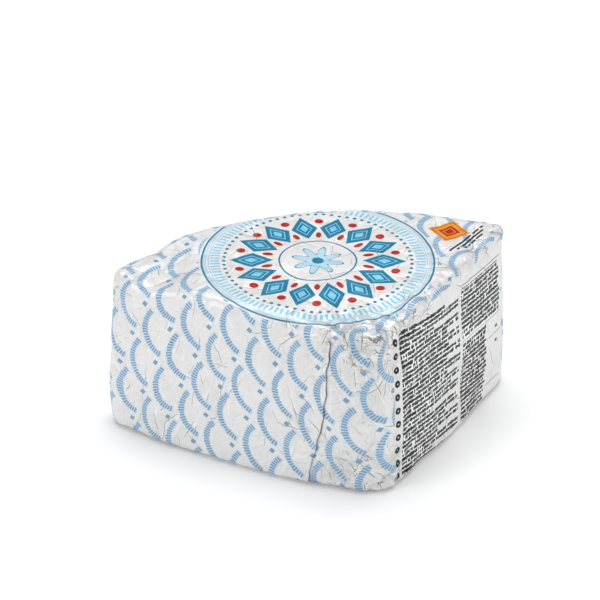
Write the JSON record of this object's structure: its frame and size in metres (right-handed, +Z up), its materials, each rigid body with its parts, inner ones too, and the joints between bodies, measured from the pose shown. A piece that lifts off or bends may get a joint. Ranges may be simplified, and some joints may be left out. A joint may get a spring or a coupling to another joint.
{
  "type": "foil-wrapped blue cheese wedge",
  "caption": "Tall quarter-round wedge of soft blue cheese, shut in a loosely folded printed foil wrapper.",
  "frame": {"origin": "centre of the pack's bounding box, at the plane of its flat base", "axes": "+Z up out of the base, +Y from the tip to the middle of the curved rind, +X towards the shorter cut face's corner"},
  "size_m": [0.2076, 0.1346, 0.0925],
  "materials": {
    "wrapper_foil": "white-lacquered foil, satin, creased, printed in light blue, teal, red and black"
  },
  "bodies": {
    "root": {"wrapped_wedge": "wrapper_foil"}
  },
  "joints": []
}
